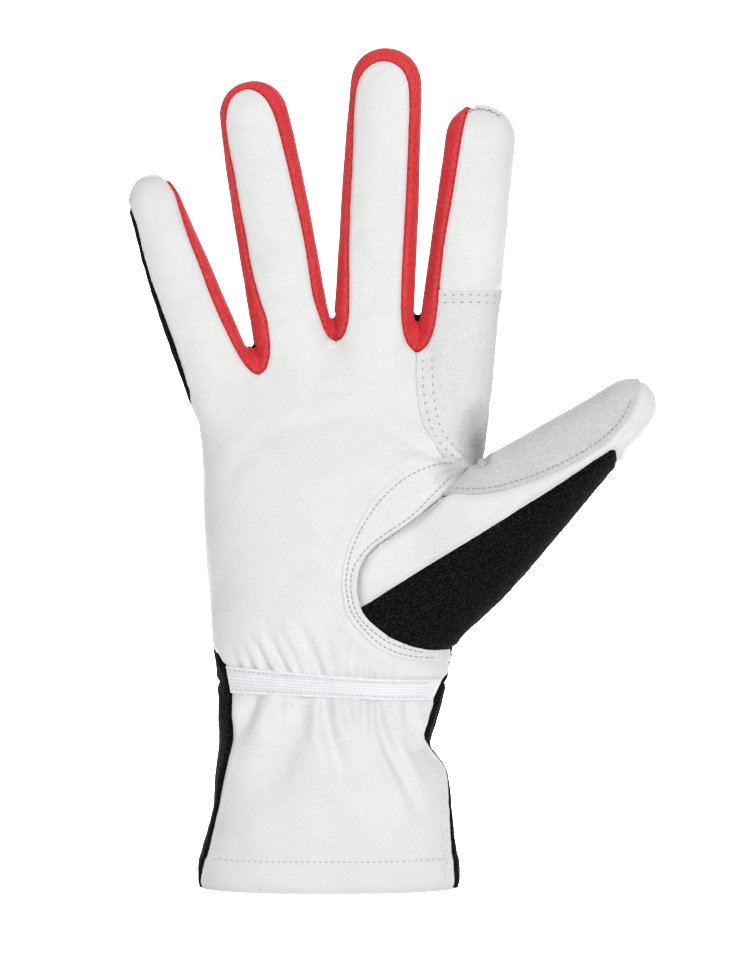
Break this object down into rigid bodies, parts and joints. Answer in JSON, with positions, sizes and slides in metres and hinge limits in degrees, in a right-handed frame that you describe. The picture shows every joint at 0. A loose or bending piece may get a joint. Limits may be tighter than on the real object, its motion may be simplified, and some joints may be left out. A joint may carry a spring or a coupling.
{
  "type": "cross-country ski glove",
  "caption": "Five-finger right-hand sports glove held upright as worn: white leather palm, red side walls between the fingers, black stretch back, elastic wrist and short cuff",
  "frame": {"origin": "middle of the cuff opening, in the plane of the hem", "axes": "+Z runs from the hem to the fingertips, -Y is the way the palm faces, +X is the thumb side"},
  "size_m": [0.158, 0.0453, 0.2506],
  "materials": {
    "leather": "smooth white leather, fine grain",
    "suede": "pale grey brushed leather patch, matte",
    "red_stretch": "red stretch cloth",
    "black_stretch": "black stretch cloth with a fine diagonal weave",
    "elastic": "white ribbed elastic band"
  },
  "bodies": {
    "root": {"palm_panel": "leather", "index_tip_panel": "leather", "index_reinforcement": "suede", "thumb_pad_patch": "suede", "thumb_front_panel": "leather", "thumb_back_panel": "black_stretch", "thumb_gusset": "leather", "finger_side_little": "red_stretch", "finger_side_ring": "red_stretch", "finger_side_middle": "red_stretch", "finger_side_index": "red_stretch", "back_panel": "black_stretch", "cuff_front": "leather", "cuff_back": "black_stretch", "wrist_elastic": "elastic"}
  },
  "joints": []
}
